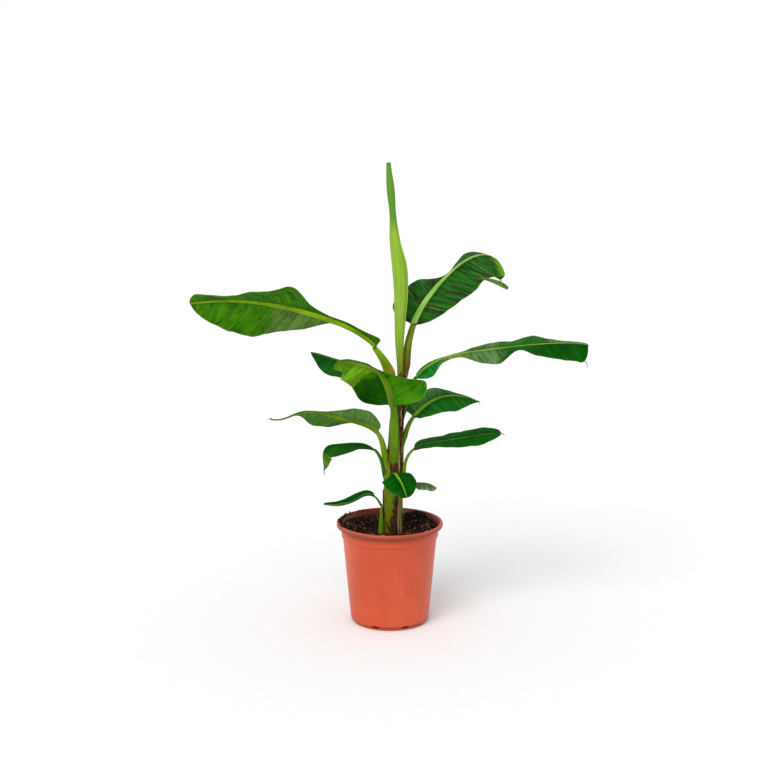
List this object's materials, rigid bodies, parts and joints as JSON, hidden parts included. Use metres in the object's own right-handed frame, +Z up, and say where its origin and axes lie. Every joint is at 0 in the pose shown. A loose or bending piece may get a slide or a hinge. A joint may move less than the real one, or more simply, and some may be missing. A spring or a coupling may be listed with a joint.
{
  "type": "potted banana plant",
  "caption": "Young banana plant with a leaning stem, arching paddle-shaped leaves and a rolled new leaf, in a round terracotta-coloured nursery pot",
  "frame": {"origin": "centre of the pot's flat underside", "axes": "+Z up; -Y is the front, where the broad front leaf comes forward; +X is the right-hand side seen from the front"},
  "size_m": [0.7572, 0.246, 0.896],
  "materials": {
    "pot": "satin",
    "soil": "matte",
    "stem": "satin",
    "spear": "satin",
    "stalk": "satin",
    "leaf": "satin"
  },
  "bodies": {
    "root": {"pot": "pot", "soil": "soil", "stem": "stem", "shoot": "stem", "spear": "spear", "stalk_upper_left": "stalk", "blade_upper_left": "leaf", "stalk_upper_right": "stalk", "blade_upper_right": "leaf", "stalk_long_right": "stalk", "blade_long_right": "leaf", "stalk_front": "stalk", "blade_front": "leaf", "stalk_back_left": "stalk", "blade_back_left": "leaf", "stalk_mid_left": "stalk", "blade_mid_left": "leaf", "stalk_low_left": "stalk", "blade_low_left": "leaf", "stalk_mid_right": "stalk", "blade_mid_right": "leaf", "stalk_low_right": "stalk", "blade_low_right": "leaf", "stalk_small_front": "stalk", "blade_small_front": "leaf", "stalk_small_right": "stalk", "blade_small_right": "leaf", "stalk_shoot": "stalk", "blade_shoot": "leaf"}
  },
  "joints": []
}
